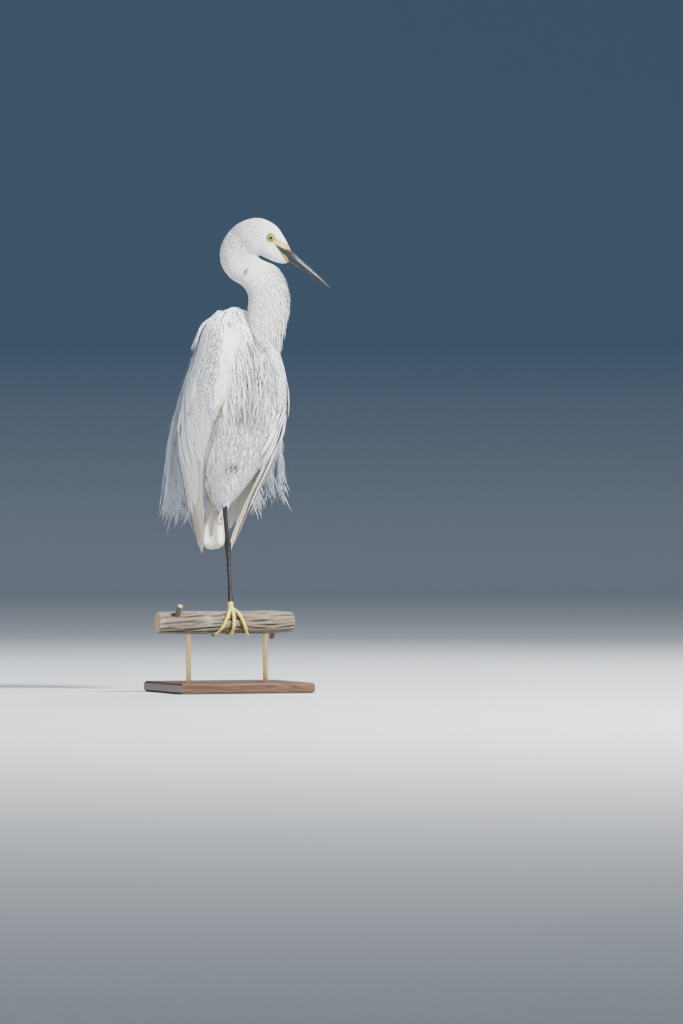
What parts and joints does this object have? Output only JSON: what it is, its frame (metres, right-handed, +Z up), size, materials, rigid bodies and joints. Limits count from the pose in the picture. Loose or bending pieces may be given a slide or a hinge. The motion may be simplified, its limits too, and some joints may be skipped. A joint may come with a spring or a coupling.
{
  "type": "little egret model",
  "caption": "Life-size little egret resting on one leg on a short cut branch, which two rods hold above a plain wooden base.",
  "frame": {"origin": "centre of the underside of the stand's base", "axes": "+Z up, -Y towards the front of the breast, +X towards the bird's left side"},
  "size_m": [0.2444, 0.2013, 0.7102],
  "materials": {
    "feathers": "soft white body feathers",
    "flight_feathers": "smooth off-white vanes",
    "bill_horn": "dark slate horn, satin",
    "eye": "pale yellow iris under a clear surface",
    "leg_skin": "black scaled skin, slightly glossy",
    "toe_skin": "yellow-green scaled skin",
    "bark": "rough bark",
    "stained_wood": "dark stained, satin",
    "rod_brass": "satin"
  },
  "bodies": {
    "root": {"head": "feathers", "neck_upper": "feathers", "neck_lower": "feathers", "torso": "feathers", "thigh_right": "feathers", "wing_left": "flight_feathers", "wing_right": "flight_feathers", "tail": "flight_feathers", "bill_upper": "bill_horn", "bill_lower": "bill_horn", "eye_left": "eye", "eye_right": "eye", "shank_right": "leg_skin", "tarsus_right": "leg_skin", "foot_right": "toe_skin", "foot_left": "leg_skin", "perch": "bark", "stand_base": "stained_wood", "stand_rod_1": "rod_brass", "stand_rod_2": "rod_brass"}
  },
  "joints": []
}
